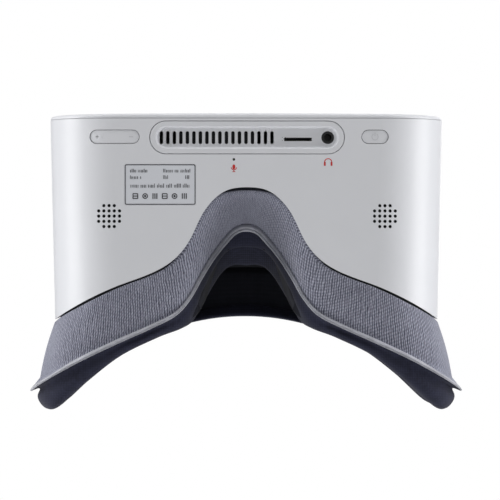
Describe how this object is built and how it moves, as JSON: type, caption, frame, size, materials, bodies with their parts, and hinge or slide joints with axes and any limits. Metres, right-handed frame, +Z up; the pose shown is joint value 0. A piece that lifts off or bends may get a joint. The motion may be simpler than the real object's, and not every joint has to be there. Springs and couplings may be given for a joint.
{
  "type": "standalone vr headset",
  "caption": "White head-mounted virtual reality display with a grey knitted face gasket, nose arch, underside port panel, volume rocker, power button and speaker grilles.",
  "frame": {"origin": "centre of the bounding box on the flat underside", "axes": "+X across the headset between the temples, +Y from the front cover towards the wearer, +Z up towards the top of the head"},
  "size_m": [0.2038, 0.138, 0.1],
  "materials": {
    "shell_white": "satin white moulded housing",
    "label_print": "grey film label with printed dark bars",
    "dark_plastic": "matt black moulding",
    "jack_plastic": "black jack body",
    "board_green": "solder-masked circuit board",
    "bare_metal": "plain nickel-plated steel",
    "switch_plastic": "switch bodies",
    "aluminium_fin": "anodised fins",
    "soft_rubber": "soft black silicone",
    "speaker_black": "black moulding with a soft cone",
    "speaker_cloth": "acoustic mesh",
    "cell_wrap": "shrink film",
    "clear_lens": "polished clear",
    "panel_glass": "dark display face",
    "flex_film": "amber polyimide film",
    "knit_fabric": "grey ribbed knit",
    "piping_cloth": "light grey piping",
    "foam_skin": "dark brushed foam cover"
  },
  "bodies": {
    "headset": {"audio_jack": "jack_plastic", "battery_pack": "cell_wrap", "battery_tray": "dark_plastic", "bezel_screws": "bare_metal", "blower_housing": "dark_plastic", "blower_lid": "dark_plastic", "board_screws": "bare_metal", "camera_bezel": "bare_metal", "camera_module": "speaker_black", "camera_window": "clear_lens", "display_flex": "flex_film", "display_frame": "dark_plastic", "display_panel": "panel_glass", "front_cover": "shell_white", "heatsink": "aluminium_fin", "label_plate": "label_print", "lens_barrel_left": "dark_plastic", "lens_barrel_right": "dark_plastic", "lens_left": "clear_lens", "lens_right": "clear_lens", "lens_ring_left": "dark_plastic", "lens_ring_right": "dark_plastic", "lower_shell": "shell_white", "mainboard": "board_green", "mic_boot": "soft_rubber", "microphone": "board_green", "microsd_socket": "bare_metal", "optical_frame": "dark_plastic", "port_board": "board_green", "port_panel": "shell_white", "power_switch": "switch_plastic", "processor_shield": "bare_metal", "proximity_board": "board_green", "proximity_window": "clear_lens", "radio_shield": "bare_metal", "rear_bezel": "dark_plastic", "shell_magnets": "bare_metal", "speaker_left": "speaker_black", "speaker_meshes": "speaker_cloth", "speaker_right": "speaker_black", "speaker_seals": "soft_rubber", "strap_bush_left": "bare_metal", "strap_bush_right": "bare_metal", "thermal_pad": "soft_rubber", "upper_shell": "shell_white", "usb_board": "board_green", "usb_port": "bare_metal", "volume_board": "board_green", "volume_switches": "switch_plastic"},
    "volume_rocker": {"volume_rocker": "shell_white"},
    "power_button": {"power_button": "shell_white"},
    "blower_rotor": {"blower_impeller": "dark_plastic"},
    "gasket": {"gasket_frame": "dark_plastic", "gasket_keepers": "bare_metal", "gasket_fabric": "knit_fabric", "gasket_piping": "piping_cloth", "face_cushion": "foam_skin", "nose_flap": "soft_rubber"}
  },
  "joints": [
    {"name": "volume_rock", "type": "hinge", "parent": "headset", "child": "volume_rocker", "pos_m": [-0.061, -0.0581, 0.0045], "axis": [0, 1, 0], "range_deg": [-1.8, 1.8], "stiffness_Nm_per_rad": 0.5},
    {"name": "power_press", "type": "slide", "parent": "headset", "child": "power_button", "axis": [0, 0, 1], "range_m": [0, 0.0004], "stiffness_N_per_m": 600},
    {"name": "blower_spin", "type": "hinge", "parent": "headset", "child": "blower_rotor", "pos_m": [-0.014, -0.059, 0.026], "axis": [0, 1, 0], "continuous": true},
    {"name": "gasket_pull", "type": "slide", "parent": "headset", "child": "gasket", "axis": [0, 1, 0], "range_m": [0, 0.06]}
  ]
}
